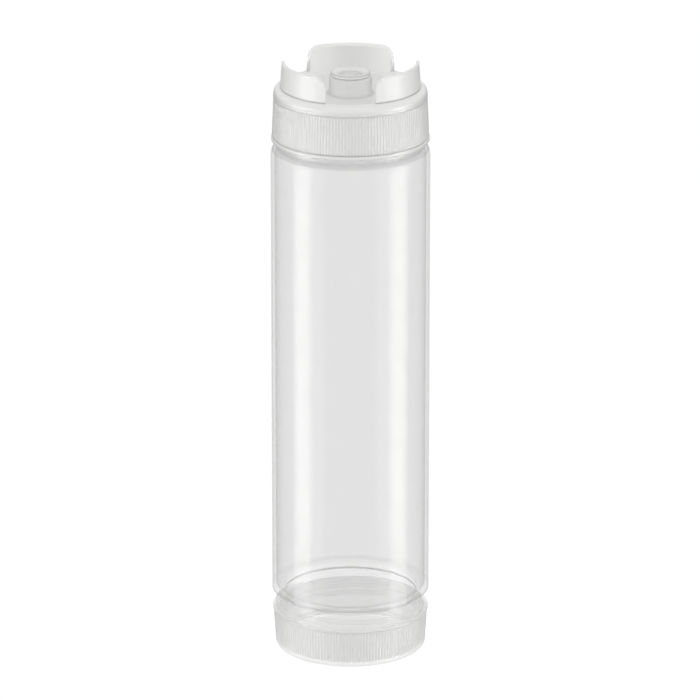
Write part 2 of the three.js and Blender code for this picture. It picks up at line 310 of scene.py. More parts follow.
class BottleColours(bpy.types.PropertyGroup):
    """Colours and clearness of the plastics."""

    clear: colour("Clear plastic", "The haze of the clear tube", (0.41, 0.41, 0.405))
    frosted: colour("Cap plastic", "The haze of the caps", (0.835, 0.835, 0.825))
    silicone: colour("Silicone", "The valve and the seals", (0.78, 0.78, 0.76))
    clear_cover: share("Clear cover", "Share of the tube's haze seen face on", 0.14)
    frosted_cover: share("Cap cover", "Share of the caps' haze seen face on", 0.55)
    foot_cover: share("Refill cap cover", "Share of the refill cap's haze seen face on", 0.35)
    ridge_cover: share("Ridge cover", "Share of the neck ridges' haze seen face on", 0.04)
    silicone_cover: share("Silicone cover", "Share of the silicone's haze", 0.32)


class StageSettings(bpy.types.PropertyGroup):
    """Camera, floor, cards and lamps."""

    elevation: number("Elevation", "Camera above the horizon", math.radians(18.5), subtype="ANGLE")
    distance: length("Distance", "Camera to the bottle's axis", 2.451)
    aim_height: length("Aim height", "Height that the camera looks at", 0.13174)
    aim_side: length("Aim side", "Sideways aim", -0.00019, -1.0)
    focal: number("Lens", "Focal length in millimetres", 298.3, 1.0)
    world_level: number("World level", "Light of the pale room", 0.56)
    floor_level: share("Floor level", "Share of the floor's glow that lights things", 0.53)
    floor_clear: share("Floor clearness", "How see-through the floor is from above", 0.65)
    side_power: number("Side power", "Power of each of the two side lamps", 7.5, unit="POWER")
    key_power: number("Key power", "Power of the soft lamp above", 9.5, unit="POWER")
    card_level: number("Card level", "Brightness of the two tall reflectors", 9.5)
    dim_level: number("Dim level", "Brightness of the cards beside them", 3.0)
    dark_level: number("Dark level", "Brightness of the cards behind the bottle", 0.3)
    floor_size: length("Floor size", "Half the floor's width", 12.0)


def settings(*names):
    """The scene's settings of that name, or a list of them for more names."""
    found = [getattr(bpy.context.scene, name) for name in names]
    return found if len(found) > 1 else found[0]


# Outlines and meshes


def arc(r, z, width, height, start, end, steps):
    """Points of a part of an ellipse round r, z."""
    points = []
    for i in range(steps + 1):
        angle = start + (end - start) * i / steps
        points.append((r + width * math.cos(angle), z + height * math.sin(angle)))
    return points


def rounded(r, z, radius, corner, steps=5):
    """Points that round off the corner at r, z, anticlockwise."""
    out, up, start = corner
    return arc(r - out * radius, z - up * radius, radius, radius, start, start + QUARTER, steps)


def rows_between(low, high):
    """Points strictly between two ends of a straight wall, so that ribs can follow it."""
    return [(low[0] + (high[0] - low[0]) * i / RIB_ROWS, low[1] + (high[1] - low[1]) * i / RIB_ROWS)
            for i in range(1, RIB_ROWS)]


def dark(points, strength=1.0):
    """The same points, marked with painted shade of that strength."""
    return [(point[0], point[1], strength) for point in points]


def revolved(name, outline, columns, material=None):
    """A mesh object turned round the axis. Its outline runs up outside and down inside.

    An outline point is a radius and a height, and where shade is painted on it also the strength of that
    painted shade.
    """
    verts = []
    rings = []
    painted_shades = []
    for r, z, *fold in outline:
        count = 1 if r < ON_AXIS else columns
        first = len(verts)
        rings.append([first + j % count for j in range(columns)])
        painted_shades += (fold or [0.0]) * count
        for j in range(count):
            angle = CIRCLE * j / count
            verts.append((r * math.cos(angle), r * math.sin(angle), z))
    faces = []
    closes = outline[0][0] > ON_AXIS
    for i in range(len(rings) if closes else len(rings) - 1):
        low, high = rings[i], rings[(i + 1) % len(rings)]
        for j in range(columns):
            k = (j + 1) % columns
            face = []
            for index in (low[j], low[k], high[k], high[j]):
                if index not in face:
                    face.append(index)
            if len(face) > 2:
                faces.append(face)
    obj = mesh_object(name, verts, faces, painted_shades)
    if material:
        obj.data.materials.append(material)
    return obj


def mesh_object(name, verts, faces, painted_shades=None):
    """A new object in the scene from vertices and faces, with the strength of the painted shade on its
    points.
    """
    mesh = bpy.data.meshes.new(name)
    mesh.from_pydata(verts, [], faces)
    if painted_shades:
        mesh.attributes.new(PAINTED_SHADE, "FLOAT", "POINT").data.foreach_set("value", painted_shades)
    mesh.update()
    obj = bpy.data.objects.new(name, mesh)
    bpy.context.scene.collection.objects.link(obj)
    return obj


def plain_mesh(obj):
    """Turns an object with live modifiers into the mesh that they make."""
    graph = bpy.context.evaluated_depsgraph_get()
    made = bpy.data.meshes.new_from_object(obj.evaluated_get(graph), depsgraph=graph)
    obj.modifiers.clear()
    obj.data = made
    made.name = obj.name
    return obj


def place(obj, body, node=None):
    """Smooths a piece but for its sharp edges, puts it on its body and hides the imported part that it
    replaces.
    """
    made = bmesh.new()
    made.from_mesh(obj.data)
    for face in made.faces:
        face.smooth = True
    for edge in made.edges:
        if len(edge.link_faces) == 2:
            edge.smooth = edge.calc_face_angle(0.0) < SHARP_EDGE
    made.to_mesh(obj.data)
    made.free()
    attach(obj, body)
    if node:
        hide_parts(node)


# Node trees

# Kinds of the sockets that aren't plain numbers
SOCKET_KINDS = {"Geometry": "Geometry", "Material": "Material", "Vector": "Vector", "Ribs": "Int",
                "Count": "Int"}


class Builder:
    """Adds nodes to a tree and links them. A node given as a value stands for its first output."""

    def __init__(self, tree):
        self.tree = tree

    def node(self, kind, options=None, **inputs):
        """A node with its options, and its inputs linked or set by socket name."""
        made = self.tree.nodes.new(kind)
        for label, value in (options or {}).items():
            setattr(made, label, value)
        for label, value in inputs.items():
            self.feed(made.inputs[label.replace("_", " ")], value)
        return made

    def feed(self, socket, value):
        """Links a socket to another, or sets its value."""
        if isinstance(value, bpy.types.Node):
            value = value.outputs[0]
        if isinstance(value, bpy.types.NodeSocket):
            self.tree.links.new(value, socket)
        else:
            socket.default_value = value

    def math(self, operation, *values):
        """The result of one sum."""
        made = self.node("ShaderNodeMath", {"operation": operation})
        for socket, value in zip(made.inputs, values):
            self.feed(socket, value)
        return made.outputs[0]

    def times(self, first, second):
        """One value multiplied by another."""
        return self.math("MULTIPLY", first, second)

    def less(self, value, part):
        """1, or less by that part where the value is 1."""
        return self.math("MULTIPLY_ADD", value, -part, 1.0)

    def ramp(self, value, low, high, to_low=0.0, to_high=1.0):
        """A smooth step from one value to another."""
        made = self.node("ShaderNodeMapRange", {"interpolation_type": "SMOOTHSTEP"}, Value=value,
                         From_Min=low, From_Max=high, To_Min=to_low, To_Max=to_high)
        return made.outputs["Result"]

    def vector(self, x=0.0, y=0.0, z=0.0):
        """A vector of three values."""
        return self.node("ShaderNodeCombineXYZ", X=x, Y=y, Z=z)

    def split(self, vector):
        """The three values of a vector."""
        return self.node("ShaderNodeSeparateXYZ", Vector=vector).outputs

    def blend(self, amount, first, second):
        """A colour between two others."""
        made = self.node("ShaderNodeMix", {"data_type": "RGBA"}, Factor=amount)
        self.feed(made.inputs[6], first)
        self.feed(made.inputs[7], second)
        return made.outputs[2]

    def see_through(self, amount, shader, shown=False):
        """Ends a material in a shader that is clear, or else shown, by that amount."""
        clear = self.node("ShaderNodeBsdfTransparent")
        made = self.node("ShaderNodeMixShader", Fac=amount)
        self.feed(made.inputs[1], clear if shown else shader)
        self.feed(made.inputs[2], shader if shown else clear)
        self.node("ShaderNodeOutputMaterial", Surface=made)

    def mark_painted_shade(self, geometry, value, where=True):
        """Writes the strength of the painted shade."""
        return self.node("GeometryNodeStoreNamedAttribute", {"data_type": "FLOAT", "domain": "POINT"},
                         Geometry=geometry, Selection=where, Name=PAINTED_SHADE, Value=value)

    def close(self, geometry, material):
        """Ends a tree in Realize Instances and Set Material."""
        real = self.node("GeometryNodeRealizeInstances", Geometry=geometry)
        dressed = self.node("GeometryNodeSetMaterial", Geometry=real, Material=material)
        self.node("NodeGroupOutput", Geometry=dressed)
        return self.tree


def new_tree(name, kind, inputs, outputs):
    """A node tree with named inputs and outputs, its builder and the outputs of its input node."""
    tree = bpy.data.node_groups.new(name, kind)
    for way, labels in (("INPUT", inputs), ("OUTPUT", outputs)):
        for label in labels:
            tree.interface.new_socket(label, in_out=way,
                                      socket_type="NodeSocket" + SOCKET_KINDS.get(label, "Float"))
    build = Builder(tree)
    return build, build.node("NodeGroupInput").outputs


def shape_tree(name, *inputs):
    """A geometry tree with those inputs between its geometry and its material."""
    return new_tree(name, "GeometryNodeTree", ("Geometry", *inputs, "Material"), ("Geometry",))


def rib_tree(name):
    """Presses upright ribs into the outer side of a revolved skirt, and paints shade into their grooves."""
    build, given = shape_tree(name, "Ribs", "Depth", "Low", "High", "Fade", "Outside", "Shade")
    x, y, z = build.split(build.node("GeometryNodeInputPosition"))
    radius = build.math("POWER", build.math("ADD", build.times(x, x), build.times(y, y)), 0.5)
    wave = build.math("COSINE", build.times(build.math("ARCTAN2", y, x), given["Ribs"]))
    groove = build.math("POWER", build.times(build.math("SUBTRACT", 1.0, wave), 0.5), RIB_SHARPNESS)
    rise = build.ramp(z, given["Low"], build.math("ADD", given["Low"], given["Fade"]))
    fall = build.ramp(z, build.math("SUBTRACT", given["High"], given["Fade"]), given["High"], 1.0, 0.0)
    deep = build.times(build.times(rise, fall), groove)
    # Painted shade in the grooves between the ribs, kept with any painted shade already there
    outer = build.math("GREATER_THAN", radius, given["Outside"])
    fold = build.node("GeometryNodeInputNamedAttribute", {"data_type": "FLOAT"}, Name=PAINTED_SHADE)
    marked = build.mark_painted_shade(given["Geometry"],
                              build.math("MAXIMUM", fold, build.times(deep, given["Shade"])), outer)
    inwards = build.math("DIVIDE", build.times(build.times(deep, given["Depth"]), -1.0), radius)
    offset = build.node("ShaderNodeVectorMath", {"operation": "SCALE"}, Vector=build.vector(x, y),
                        Scale=inwards)
    moved = build.node("GeometryNodeSetPosition", Geometry=marked, Selection=outer, Offset=offset)
    return build.close(moved, given["Material"])


def thread_tree(name):
    """A helical ridge that fades into its wall at both ends."""
    build, given = shape_tree(name, "Radius", "Pitch", "Turns", "Foot", "Crest", "Proud", "Sink",
                              "Run out", "Height", "Shade")
    spiral = build.node("GeometryNodeCurveSpiral", Resolution=THREAD_STEPS, Rotations=given["Turns"],
                        Start_Radius=given["Radius"], End_Radius=given["Radius"],
                        Height=build.times(given["Pitch"], given["Turns"]))
    upright = build.node("GeometryNodeSetCurveNormal", {"mode": "Z_UP"}, Curve=spiral)
    along = build.node("GeometryNodeSplineParameter").outputs["Length"]
    whole = build.node("GeometryNodeSplineLength").outputs["Length"]
    ends = [build.ramp(way, 0.0, given["Run out"], THREAD_END, 1.0)
            for way in (along, build.math("SUBTRACT", whole, along))]
    slim = build.node("GeometryNodeSetCurveRadius", Curve=upright, Radius=build.math("MINIMUM", *ends))
    sunk = build.times(given["Sink"], -1.0)
    corners = ((sunk, "Foot", -0.5), (given["Proud"], "Crest", -0.5), (given["Proud"], "Crest", 0.5),
               (sunk, "Foot", 0.5))
    points = {"Point_" + str(i + 1): build.vector(depth, build.times(given[width], half))
              for i, (depth, width, half) in enumerate(corners)}
    profile = build.node("GeometryNodeCurvePrimitiveQuadrilateral", {"mode": "POINTS"}, **points)
    # Painted shade on the ridge's feet, where it meets its wall
    middle = build.math("SUBTRACT", build.node("GeometryNodeInputIndex"), 1.5)
    at_foot = build.math("GREATER_THAN", build.math("ABSOLUTE", middle), 1.0)
    marked = build.mark_painted_shade(profile, build.times(at_foot, given["Shade"]))
    ridge = build.node("GeometryNodeCurveToMesh", Curve=slim, Profile_Curve=marked, Fill_Caps=True,
                       Scale=build.node("GeometryNodeInputRadius"))
    lifted = build.node("GeometryNodeTransform", Geometry=ridge,
                        Translation=build.vector(z=given["Height"]))
    return build.close(lifted, given["Material"])


def round_tree(name):
    """Sets copies of a mesh evenly round the axis."""
    build, given = shape_tree(name, "Count")
    points = build.node("GeometryNodePoints", Count=given["Count"])
    step = build.math("DIVIDE", CIRCLE, given["Count"])
    turn = build.vector(z=build.times(build.node("GeometryNodeInputIndex"), step))
    copies = build.node("GeometryNodeInstanceOnPoints", Points=points, Instance=given["Geometry"],
                        Rotation=turn)
    return build.close(copies, given["Material"])


def surface_group(name):
    """What moulded plastic has all over: fine grain, faint flow lines and a little unevenness."""
    build, given = new_tree(name, "ShaderNodeTree", ("Vector", "Grain", "Flow", "Roughness", "Spread"),
                            ("Haze", "Roughness", "Height"))
    grain = build.node("ShaderNodeTexNoise", Vector=given["Vector"], Scale=given["Grain"], Detail=3.0)
    flow = build.node("ShaderNodeTexNoise", Vector=given["Vector"], Scale=given["Flow"], Detail=2.0,
                      Roughness=0.4)
    uneven = build.math("SUBTRACT", flow, 0.5)
    build.node("NodeGroupOutput", Haze=build.math("MULTIPLY_ADD", uneven, given["Spread"], 1.0),
               Roughness=build.math("ADD", given["Roughness"], build.times(uneven, given["Spread"])),
               Height=build.math("MULTIPLY_ADD", grain, GRAIN_SHARE, flow))
    return build.tree


def tree_named(name, make):
    """The tree of that name, made the first time it is asked for."""
    return bpy.data.node_groups.get(name) or make(name)


def apply_tree(obj, tree, **values):
    """Runs a tree on an object with the given inputs and keeps the plain mesh."""
    modifier = obj.modifiers.new("Shape", "NODES")
    modifier.node_group = tree
    for item in tree.interface.items_tree:
        label = item.name.replace(" ", "_")
        if item.in_out == "INPUT" and label in values:
            modifier[item.identifier] = values[label]
    return plain_mesh(obj)


# Materials


def darker(base, light):
    """A colour with that share of its light."""
    return (*[channel * light for channel in base], 1.0)


def plastic(name, base, cover, edge, fold, shine, finish, thick=None, slim=None, behind=0.0):
    """A see-through plastic: its haze covers more of what is behind it where it is seen edge on.

    edge is the cover of the outermost edge, how fast it is reached and the share of the colour's
    light left there, as painted shade on upright walls seen edge on, or painted light where that
    share is over 1. fold is how much more a full mark of painted shade covers, the share of
    the colour's light left in it, and the share of it that is left where it is seen from its back.
    thick gives a height over which the wall is thicker, the step to it and how much more it covers
    there. slim gives a height under which it covers less, the step to it and the shares that its
    edges and all of it cover there. behind is how much less the wall covers where it is seen from
    its back.
    """
    material = bpy.data.materials.get(name)
    if material:
        return material
    material = bpy.data.materials.new(name)
    material.use_nodes = True
    build = Builder(material.node_tree)
    shader = build.tree.nodes["Principled BSDF"]
    pattern, stretch, relief, ior = finish
    here = build.node("ShaderNodeTexCoord").outputs["Object"]
    mapping = build.node("ShaderNodeMapping", Vector=here, Scale=(1.0, 1.0, stretch))
    group = {"node_tree": tree_named("Moulded Plastic", surface_group)}
    surface = build.node("ShaderNodeGroup", group, Vector=mapping, **pattern).outputs
    facing = build.node("ShaderNodeLayerWeight", Blend=0.5).outputs["Facing"]
    height = build.split(here)[2]
    reach = build.math("POWER", facing, edge[1])
    haze = surface["Haze"]
    if slim:
        top, step, edge_share, wall_share = slim
        reach = build.times(reach, build.ramp(height, top - step, top, edge_share, 1.0))
        haze = build.times(haze, build.ramp(height, top - step, top, wall_share, 1.0))
    covered = build.node("ShaderNodeMapRange", Value=reach, To_Min=cover, To_Max=edge[0])
    alpha = build.times(covered, haze)
    if thick:
        top, step, more = thick
        alpha = build.times(alpha, build.ramp(height, top - step, top, 1.0, 1.0 + more))
    geometry = build.node("ShaderNodeNewGeometry").outputs
    alpha = build.times(alpha, build.less(geometry["Backfacing"], behind))
    # Painted shade: where an outline marks it, the colour keeps less of its light and covers more, as shade
    # in folds, grooves and gaps
    marked = build.node("ShaderNodeAttribute", {"attribute_name": PAINTED_SHADE}).outputs["Fac"]
    shade_share = build.times(marked, build.less(geometry["Backfacing"], 1.0 - fold[2]))
    alpha = build.math("MULTIPLY_ADD", shade_share, fold[0], alpha)
    path = build.node("ShaderNodeLightPath").outputs
    through = build.math("MAXIMUM", path["Is Shadow Ray"], path["Is Diffuse Ray"])
    alpha = build.times(build.math("MINIMUM", alpha, 1.0), build.less(through, LET_THROUGH))
    # Painted shade: upright walls seen edge on, and a little of everything by the roughness, take on edge's
    # share of the colour's light, which is painted light where that share is over 1
    upright = build.math("SUBTRACT", 1.0, build.math("ABSOLUTE", build.split(geometry["Normal"])[2]))
    deep = build.math("MULTIPLY_ADD", build.times(facing, facing), upright, surface["Roughness"])
    tint = build.blend(build.math("MINIMUM", deep, 1.0), darker(base, 1.0), darker(base, edge[2]))
    bump = build.node("ShaderNodeBump", Height=surface["Height"], Strength=relief,
                      Distance=RELIEF_DEPTH)
    tint = build.blend(shade_share, tint, darker(base, fold[1]))
    for label, value in (("Alpha", alpha), ("Base Color", tint), ("Roughness", surface["Roughness"]),
                         ("Normal", bump), ("IOR", ior), ("Specular IOR Level", shine)):
        build.feed(shader.inputs[label], value)
    return material


def clear_plastic():
    """The clear tube: blow-moulded and glossy, thicker at the upper end, clearer in the lower neck."""
    look, size = settings("bottle_colours", "bottle_sizes")
    # Painted light: the tube's upright walls are lighter seen edge on; its marked folds keep 0.7 of their
    # light as painted shade
    return plastic("clear_tube", look.clear, look.clear_cover, (0.74, 4.8, 1.25), (0.5, 0.7, 0.45), 0.5,
                   BLOWN, thick=(size.upper_lip - size.neck_length, size.upper_edge, 0.25),
                   slim=(size.lower_lip + size.neck_length, size.wall / 2, 0.45, 0.65))


def ridge_plastic():
    """The neck ridges: the tube's plastic, clear but for their edges, because the wall is behind them."""
    look = settings("bottle_colours")
    # Painted shade: the ridges' marked feet keep 0.45 of their light
    return plastic("clear_ridge", look.frosted, look.ridge_cover, (0.2, 3.0, 1.0), (0.8, 0.45, 1.0), 0.2,
                   BLOWN)


def cap_plastic(name="milky_cap", cover=None, edge=(0.97, 2.2, 0.52), shine=0.38, behind=0.0):
    """The caps: injection-moulded and milky, and more so in the crown, where the wall is thicker."""
    look, cap = settings("bottle_colours", "cap_sizes")
    under, step, more = CROWN_THICK
    # Painted shade: edge's last value is the light that upright walls keep seen edge on, and marked folds
    # keep half theirs
    return plastic(name, look.frosted, cover or look.frosted_cover, edge, (0.3, 0.5, 0.35), shine, MOULDED,
                   thick=(CAP_HIGH.z - cap.crown_height - under, step, more), behind=behind)


def crown_plastic():
    """The crown's legs: the same plastic with less painted shade at its edges and less gloss."""
    return cap_plastic("milky_crown", edge=(0.97, 2.2, 0.7), shine=0.2)


def foot_plastic():
    """The refill cap: the same plastic with thinner walls, so that more shows through it."""
    return cap_plastic("milky_foot", settings("bottle_colours").foot_cover, (1.0, 2.8, 0.62), behind=0.5)


def silicone():
    """The valve and the seals: soft and matt."""
    look = settings("bottle_colours")
    # Painted shade: walls seen edge on keep 0.85 of their light, and marked folds 0.6
    return plastic("soft_silicone", look.silicone, look.silicone_cover, (0.6, 3.0, 0.85), (0.3, 0.6, 0.35),
                   0.3, SOFT)


# Pieces of the bottle


def bottle_end(size, edge_width, edge_height, flat, line, ring):
    """Outer and inner outline of one end, as radius and height over the shoulder towards the lip.

    flat is the strength of the painted shade on the shoulder's flat, line that on its rounded edge,
    and ring that of the painted dark ring inside the neck, at line_place over the shoulder.
    """
    neck = size.radius - size.shoulder_step
    bore = neck - size.neck_wall
    inner_height = max(edge_height - size.wall, size.wall)
    inner_width = max(edge_width - size.wall, size.wall)
    lip_height = size.neck_length - size.lip
    # Painted shade at the lip and, further down, in the root, on the shoulder and inside the neck
    outer = dark(rounded(neck, size.neck_length, size.lip, OUTER_TOP)[:1:-1], size.lip_fold)
    outer += [(neck, lip_height), (neck, lip_height - size.lip)]
    outer += [(neck + size.bead_proud * (0.5 + 0.5 * math.cos(t)),
               size.bead_place + size.bead_height * t / CIRCLE)
              for t in [math.pi - CIRCLE * i / BEAD_STEPS for i in range(BEAD_STEPS + 1)]]
    outer += dark(rounded(neck, 0.0, size.root, INNER_FOOT), flat)
    edge = arc(size.radius - edge_width, -edge_height, edge_width, edge_height, QUARTER, 0, SHOULDER_STEPS)
    if flat:
        outer += dark(edge[:7], flat) + edge[7:9]
    else:
        outer += edge[:4] + dark(edge[4:9], line)
    outer += dark(edge[9:] + [(size.radius, -edge_height - size.line_width)], line)
    outer += [(size.radius, -edge_height - 1.5 * size.line_width)]
    inner = rounded(bore, size.neck_length, size.lip, INNER_TOP)
    mark = size.line_width / 2
    inner += [(bore, size.line_place + 2 * mark)]
    inner += dark([(bore, size.line_place + mark), (bore, size.line_place - mark)], ring)
    inner += [(bore, size.line_place - 2 * mark), (bore, size.root)]
    inner += dark(rounded(bore, -size.wall, size.root, INNER_FOOT), flat)
    inner += arc(size.radius - size.wall - inner_width, -size.wall - inner_height, inner_width,
                 inner_height, QUARTER, 0, INNER_SHOULDER_STEPS)
    return outer, inner


def body_shell():
    """The clear tube with its shoulders and plain necks."""
    size = settings("bottle_sizes")
    low = bottle_end(size, size.lower_edge_width, size.lower_edge, 0.0, size.lower_fold, size.neck_fold)
    high = bottle_end(size, size.upper_edge_width, size.upper_edge, size.upper_fold, 0.0, 0.0)
    low_outer, low_inner = [[(r, size.lower_lip + size.neck_length - h, *fold) for r, h, *fold in part]
                            for part in low]
    high_outer, high_inner = [[(r, size.upper_lip - size.neck_length + h, *fold) for r, h, *fold in part]
                              for part in high]
    outline = low_outer + high_outer[::-1] + high_inner + low_inner[::-1]
    obj = revolved("body_shell", outline, BODY_COLUMNS, clear_plastic())
    place(obj, "bottle", "bottle_body")


def thread(name, radius, proud, sink, turns, height, mark, material, body):
    """One helical ridge, in a piece of its own."""
    size = settings("thread_sizes")
    obj = mesh_object(name, [], [])
    apply_tree(obj, tree_named("Screw Thread", thread_tree), Radius=radius, Pitch=size.pitch, Turns=turns,
               Foot=size.foot, Crest=size.crest, Proud=proud, Sink=sink, Run_out=size.run_out,
               Height=height, Shade=mark, Material=material)
    place(obj, body)


def threads():
    """The ridges on the two necks, and those inside the two caps, which lie between them."""
    bottle, cap, size = settings("bottle_sizes", "cap_sizes", "thread_sizes")
    neck = bottle.radius - bottle.shoulder_step
    low = bottle.lower_lip + size.from_lip
    high = bottle.upper_lip - size.from_lip - size.pitch * size.turns
    for name, height in (("neck_thread_lower", low), ("neck_thread_upper", high)):
        thread(name, neck, size.proud, size.sink, size.turns, height, size.shade, ridge_plastic(),
               "bottle")
    thread("refill_cap_thread", neck + cap.refill_lip_room + cap.refill_draft / 2, -size.cap_proud,
           -size.sink - cap.refill_draft / 2, size.cap_turns, low + size.pitch / 2, 0.0, foot_plastic(),
           "refill_cap")
    thread("dispensing_cap_thread", neck + cap.lip_room + cap.draft / 4, -size.cap_proud,
           -size.sink - cap.draft / 2, size.cap_turns, high + size.pitch * (size.turns - size.cap_turns),
           0.0, cap_plastic(), "dispensing_cap")


def ribbed(name, outline, ribs, low, high, outside, material):
    """Turns a cap's outline and presses the ribs into its skirt."""
    cap = settings("cap_sizes")
    obj = revolved(name, outline, ribs * RIB_COLUMNS)
    return apply_tree(obj, tree_named("Upright Ribs", rib_tree), Ribs=ribs, Depth=cap.rib_depth, Low=low,
                      High=high, Fade=cap.rib_fade, Outside=outside, Shade=cap.rib_shade,
                      Material=material)


def cap_radii():
    """Radii of the plug inside a cap, and of the ribs at the dispensing cap's and the refill cap's end."""
    bottle, cap = settings("bottle_sizes", "cap_sizes")
    neck = bottle.radius - bottle.shoulder_step
    return (neck - bottle.neck_wall - PLUG_ROOM, neck + cap.lip_room + cap.skirt_wall,
            neck + cap.refill_lip_room + cap.skirt_wall)


def dispensing_cap_shell():
    """Ribbed skirt, smooth band, deck, dished floor and collar in one turned shell."""
    cap = settings("cap_sizes")
    plug, radius, _ = cap_radii()
    rim = CAP_LOW.z
    deck_top = CAP_HIGH.z - cap.crown_height
    underside = deck_top - cap.deck
    ribs_low = rim + cap.bead
    ribs_high = deck_top - cap.band
    crest = radius + cap.draft
    valley = crest - cap.rib_depth
    outer = crest + cap.rim_proud
    inner = valley - cap.skirt_wall
    crown = radius - cap.deck_edge
    crown_bore = crown - cap.crown_wall
    dish_top = deck_top - cap.dish_depth
    dish_low = dish_top - cap.dish_fall
    collar_top = RING_BOTTOM - cap.collar_gap
    collar = cap.collar_radius
    bore = collar - cap.collar_wall
    fillet = cap.dish_fillet
    under = dish_low - cap.dish_floor
    neat = radius - cap.rib_depth / 2
    groove = cap.foot_groove
    low, high = (crest, ribs_low + 2 * cap.groove), (radius, ribs_high - cap.groove)
    outline = rounded(inner, rim, cap.rim_radius, INNER_FOOT)
    # Painted shade in the rim's groove, under the ribs and under the smooth band
    outline += dark(rounded(outer, rim, cap.rim_radius, OUTER_FOOT)[:4], RIM_SHADE)
    outline += [(outer, rim + cap.rim_radius)] + rounded(outer, ribs_low, cap.rim_radius, OUTER_TOP)
    outline += dark([(valley, ribs_low), (valley, ribs_low + cap.groove), low])
    outline += rows_between(low, high)
    outline += dark([high, (neat, ribs_high - cap.groove / 2), (neat, ribs_high)], BAND_SHADE)
    outline += dark(rounded(radius + cap.band_proud, ribs_high, BAND_EDGE, OUTER_FOOT, 2), BAND_SHADE)
    outline += [(radius + cap.band_proud, ribs_high + 2 * cap.groove)]
    outline += rounded(radius, deck_top, cap.deck_edge, OUTER_TOP, DECK_STEPS)[:-2]
    outline += [(crown + groove, deck_top - GROOVE_STEP), (crown + groove / 2, deck_top - groove)]
    outline += [(crown - FINE_EDGE, deck_top - groove), (crown - groove, deck_top)]
    outline += rounded(crown_bore, deck_top, CROWN_EDGE, INNER_TOP, 3)
    outline += rounded(crown_bore, dish_top, fillet, OUTER_FOOT)[::-1] + [(collar + 3 * fillet, dish_low)]
    # Painted shade round the collar's foot and on its top edge
    outline += dark(rounded(collar, dish_low, fillet, INNER_FOOT)[:1:-1], COLLAR_FOOT_SHADE)
    outline += dark([(collar, dish_low + 2 * fillet)], COLLAR_SHADE)
    outline += dark(rounded(collar, collar_top, cap.collar_edge, OUTER_TOP), COLLAR_SHADE)
    outline += rounded(bore, collar_top, FINE_EDGE, INNER_TOP, 2)
    outline += [(bore, dish_low), (bore - cap.seat, dish_low), (bore - cap.seat, under), (collar, under)]
    outline += [(plug, dish_top - cap.dish_floor), (plug, underside), (radius - cap.skirt_wall, underside)]
    obj = ribbed("dispensing_cap_shell", outline, cap.ribs, ribs_low, ribs_high, radius - cap.rib_depth,
                 cap_plastic())
    place(obj, "dispensing_cap", "dispensing_cap")


def crown_legs():
    """The three legs of the crown, each a bent wall with rounded edges and upper corners."""
    cap = settings("cap_sizes")
    _, radius, _ = cap_radii()
    deck_top = CAP_HIGH.z - cap.crown_height
    outer = radius - cap.deck_edge
    inner = outer - cap.crown_wall
    mean = (outer + inner) / 2
    foot = deck_top - cap.deck * LEG_ROOT

    def leg_angle(r):
        """The angle that a leg spans at that radius, between two gaps with parallel sides."""
        return CIRCLE / LEGS - 2 * math.asin(cap.crown_gap / 2 / r)

    def quarter_drop(corner, near):
        """How far a rounded corner falls back at that distance from its end."""
        return corner - math.sqrt(corner ** 2 - max(corner - near, 0.0) ** 2)

    def section(s):
        """Points of the wall's section at one place along the leg."""
        near = min(s, span - s)
        edge = cap.crown_edge
        top = CAP_HIGH.z - quarter_drop(cap.crown_corner, near)
        inset = quarter_drop(edge, near)
        lean = cap.crown_draft * (top - deck_top) / cap.crown_height
        out_top = outer - lean - inset
        in_top = inner + inset
        # Painted shade in the groove at the leg's outer foot; the top edges are marked clearer than the wall
        points = dark([(outer - inset, foot), (outer - inset, deck_top + cap.groove)])
        points += [(outer - inset, deck_top + 3 * cap.groove), (out_top, top - 3 * edge)]
        points += dark(rounded(out_top, top, edge, OUTER_TOP, 4), LEG_TOP_SHADE)
        points += dark(rounded(in_top, top, edge, INNER_TOP, 4), LEG_TOP_SHADE)
        # Painted shade: the inner face is darker in the middle of the leg than at its ends
        points += dark([(in_top, top - 3 * edge), (in_top, deck_top), (in_top, foot)],
                       cap.leg_shade * math.sin(math.pi * s / span) ** 2)
        return points

    span = leg_angle(mean) * mean
    steps = [cap.crown_corner * (1 - math.cos(QUARTER * i / LEG_CORNER_STEPS))
             for i in range(LEG_CORNER_STEPS + 1)]
    middle = [steps[-1] + (span - 2 * steps[-1]) * i / LEG_STEPS for i in range(1, LEG_STEPS)]
    stations = steps + middle + [span - s for s in reversed(steps)]
    verts = []
    painted_shades = []
    for s in stations:
        # Painted shade on the leg's end faces
        end = LEG_END_SHADE if min(s, span - s) < cap.crown_edge / 3 else 0.0
        for r, z, *fold in section(s):
            angle = -QUARTER + CIRCLE / LEGS / 2 + leg_angle(r) * (s / span - 0.5)
            verts.append((r * math.cos(angle), r * math.sin(angle), z))
            painted_shades += fold if fold and abs(fold[0]) > end else [end]
    count = len(section(0.0))
    faces = []
    for a in range(0, len(verts) - count, count):
        for j in range(count):
            k = (j + 1) % count
            faces.append((a + j, a + count + j, a + count + k, a + k))
    faces.append(tuple(range(count)))
    faces.append(tuple(reversed(range(len(verts) - count, len(verts)))))
    obj = mesh_object("crown_legs", verts, faces, painted_shades)
    apply_tree(obj, tree_named("Round Pattern", round_tree), Count=LEGS, Material=crown_plastic())
    place(obj, "dispensing_cap")


